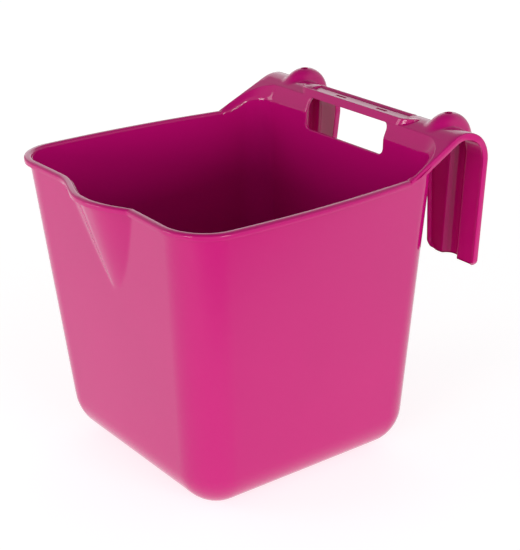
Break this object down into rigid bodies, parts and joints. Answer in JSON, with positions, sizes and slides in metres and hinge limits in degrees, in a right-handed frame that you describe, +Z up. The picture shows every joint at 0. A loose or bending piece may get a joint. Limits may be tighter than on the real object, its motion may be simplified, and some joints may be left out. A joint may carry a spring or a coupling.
{
  "type": "feed bucket",
  "caption": "Square hook-over feed bucket: tapered plastic tub with a pour spout, a grip slot with a handle bar, and two ribbed hooks that hang over a rail.",
  "frame": {"origin": "centre of the flat underside, where the bucket stands", "axes": "+Z up, +Y towards the back, where the hooks are, +X to the right seen from the spout"},
  "size_m": [0.2998, 0.3559, 0.319],
  "materials": {
    "plastic": "glossy moulded polypropylene in magenta pink"
  },
  "bodies": {
    "root": {"tub_base": "plastic", "front_wall": "plastic", "pour_spout": "plastic", "left_wall": "plastic", "right_wall": "plastic", "back_wall": "plastic", "rim_lip": "plastic", "grip_panel": "plastic", "handle_bar": "plastic", "left_shoulder": "plastic", "right_shoulder": "plastic", "left_hook_ramp": "plastic", "right_hook_ramp": "plastic", "left_hook_leg": "plastic", "right_hook_leg": "plastic", "left_hook_rib": "plastic", "right_hook_rib": "plastic", "left_hook_bend": "plastic", "right_hook_bend": "plastic"}
  },
  "joints": []
}
